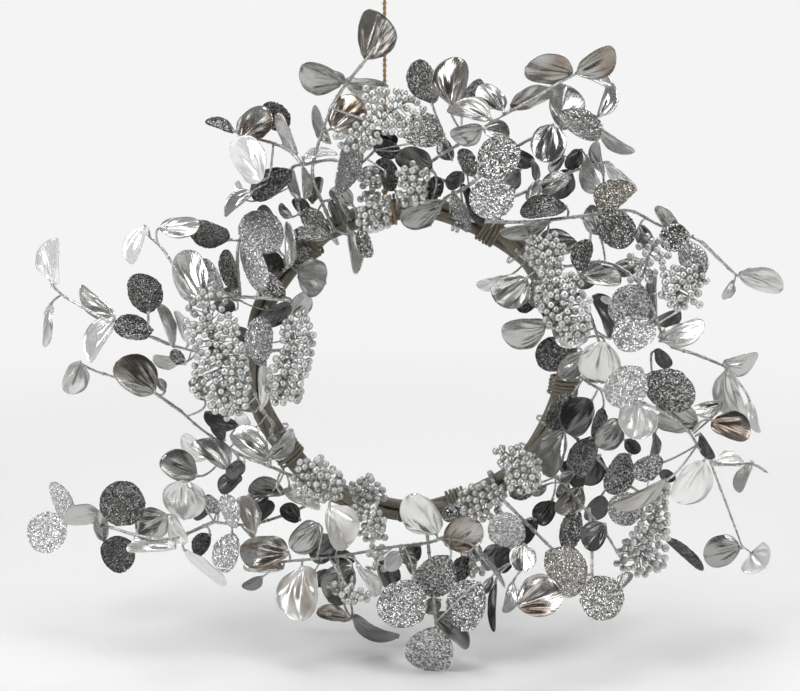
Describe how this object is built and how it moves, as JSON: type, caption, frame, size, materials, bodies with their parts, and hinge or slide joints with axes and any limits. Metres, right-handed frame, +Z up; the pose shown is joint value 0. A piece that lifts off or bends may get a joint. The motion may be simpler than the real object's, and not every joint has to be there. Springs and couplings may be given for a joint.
{
  "type": "wreath frame",
  "caption": "Hanging wreath: a twisted rattan ring bound with cord, hung from twine and dressed with wired sprays of silver leaves and berry clusters.",
  "frame": {"origin": "centre of the rattan ring, on the ring's mid plane", "axes": "+Z up along the hanging twine, ring in the XZ plane, -Y out of the dressed front, +Y towards the wall"},
  "size_m": [0.6375, 0.1714, 0.6591],
  "materials": {
    "rattan_cane": "natural rattan, long grain, satin",
    "binding_cord": "twisted brown cord",
    "hanger_twine": "two-ply jute twine, fuzzy",
    "floral_wire": "thin annealed wire",
    "glitter_leaf": "coarse silver glitter on a moulded leaf",
    "metallic_leaf": "vacuum-metallised moulded leaf, satin bright",
    "berry_coating": "silver glitter on foam berries",
    "stem_coating": "silver-coated plastic over wire"
  },
  "bodies": {
    "wreath": {"bottom_berries": "berry_coating", "bottom_glitter_leaves": "glitter_leaf", "bottom_smooth_leaves": "metallic_leaf", "bottom_stems": "stem_coating", "cord_wrap_bottom": "binding_cord", "cord_wrap_lower_left": "binding_cord", "cord_wrap_right": "binding_cord", "cord_wrap_upper_left": "binding_cord", "cord_wrap_upper_right": "binding_cord", "crown_left_berries": "berry_coating", "crown_left_glitter_leaves": "glitter_leaf", "crown_left_smooth_leaves": "metallic_leaf", "crown_left_stems": "stem_coating", "crown_right_glitter_leaves": "glitter_leaf", "crown_right_smooth_leaves": "metallic_leaf", "crown_right_stems": "stem_coating", "floral_wire_ties": "floral_wire", "hanger_hitch": "hanger_twine", "left_lower_berries": "berry_coating", "left_lower_glitter_leaves": "glitter_leaf", "left_lower_smooth_leaves": "metallic_leaf", "left_lower_stems": "stem_coating", "left_upper_berries": "berry_coating", "left_upper_glitter_leaves": "glitter_leaf", "left_upper_smooth_leaves": "metallic_leaf", "left_upper_stems": "stem_coating", "right_lower_berries": "berry_coating", "right_lower_glitter_leaves": "glitter_leaf", "right_lower_smooth_leaves": "metallic_leaf", "right_lower_stems": "stem_coating", "right_upper_berries": "berry_coating", "right_upper_glitter_leaves": "glitter_leaf", "right_upper_smooth_leaves": "metallic_leaf", "right_upper_stems": "stem_coating", "ring_cane_first": "rattan_cane", "ring_cane_second": "rattan_cane", "ring_cane_third": "rattan_cane"},
    "hanger_knot": {"hanger_knot": "hanger_twine"},
    "hanger_twine": {"hanger_cord": "hanger_twine", "hanger_loop": "hanger_twine"},
    "top_left_sprig": {"top_left_sprig_smooth_leaves": "metallic_leaf", "top_left_sprig_stems": "stem_coating"},
    "upper_left_sprig": {"upper_left_sprig_glitter_leaves": "glitter_leaf", "upper_left_sprig_smooth_leaves": "metallic_leaf", "upper_left_sprig_stems": "stem_coating"},
    "top_right_sprig": {"top_right_sprig_smooth_leaves": "metallic_leaf", "top_right_sprig_stems": "stem_coating"},
    "right_upper_sprig": {"right_upper_sprig_smooth_leaves": "metallic_leaf", "right_upper_sprig_stems": "stem_coating"},
    "right_middle_sprig": {"right_middle_sprig_smooth_leaves": "metallic_leaf", "right_middle_sprig_stems": "stem_coating"},
    "right_lower_sprig": {"right_lower_sprig_smooth_leaves": "metallic_leaf", "right_lower_sprig_stems": "stem_coating"},
    "far_left_sprig": {"far_left_sprig_glitter_leaves": "glitter_leaf", "far_left_sprig_smooth_leaves": "metallic_leaf", "far_left_sprig_stems": "stem_coating"},
    "lower_left_sprig": {"lower_left_sprig_glitter_leaves": "glitter_leaf", "lower_left_sprig_smooth_leaves": "metallic_leaf", "lower_left_sprig_stems": "stem_coating"}
  },
  "joints": [
    {"name": "hanger_fold", "type": "hinge", "parent": "wreath", "child": "hanger_knot", "pos_m": [-0.02166, 0.00978, 0.14491], "axis": [1, 0, 0], "range_deg": [-110, 2]},
    {"name": "hanger_sway", "type": "hinge", "parent": "hanger_knot", "child": "hanger_twine", "pos_m": [-0.02166, 0.00978, 0.14491], "axis": [0, 1, 0], "range_deg": [-20, 20]},
    {"name": "top_left_sprig_bend", "type": "hinge", "parent": "wreath", "child": "top_left_sprig", "pos_m": [-0.0642, -0.0544, 0.22411], "axis": [0.7996, -0.1453, -0.5827], "range_deg": [0, 20]},
    {"name": "upper_left_sprig_bend", "type": "hinge", "parent": "wreath", "child": "upper_left_sprig", "pos_m": [-0.08834, -0.04612, 0.1767], "axis": [0.4577, 0.2151, 0.8627], "range_deg": [-10, 20]},
    {"name": "top_right_sprig_bend", "type": "hinge", "parent": "wreath", "child": "top_right_sprig", "pos_m": [0.07396, -0.04828, 0.21765], "axis": [0.4369, -0.2176, -0.8728], "range_deg": [-3, 15]},
    {"name": "right_upper_sprig_bend", "type": "hinge", "parent": "wreath", "child": "right_upper_sprig", "pos_m": [0.23524, -0.05365, 0.11548], "axis": [-0.6031, -0.193, -0.774], "range_deg": [-25, 25]},
    {"name": "right_middle_sprig_bend", "type": "hinge", "parent": "wreath", "child": "right_middle_sprig", "pos_m": [0.21784, -0.03378, 0.02159], "axis": [-0.3434, -0.2272, -0.9113], "range_deg": [-25, 8]},
    {"name": "right_lower_sprig_bend", "type": "hinge", "parent": "wreath", "child": "right_lower_sprig", "pos_m": [0.2526, -0.03667, -0.07682], "axis": [-0.9253, -0.0917, -0.3679], "range_deg": [-12, 25]},
    {"name": "far_left_sprig_bend", "type": "hinge", "parent": "wreath", "child": "far_left_sprig", "pos_m": [-0.20218, -0.03463, 0.02438], "axis": [0.4533, 0.2156, 0.8649], "range_deg": [-25, 25]},
    {"name": "lower_left_sprig_bend", "type": "hinge", "parent": "wreath", "child": "lower_left_sprig", "pos_m": [-0.1665, -0.042, -0.12918], "axis": [-0.0061, 0.2419, 0.9703], "range_deg": [-15, 20]}
  ]
}
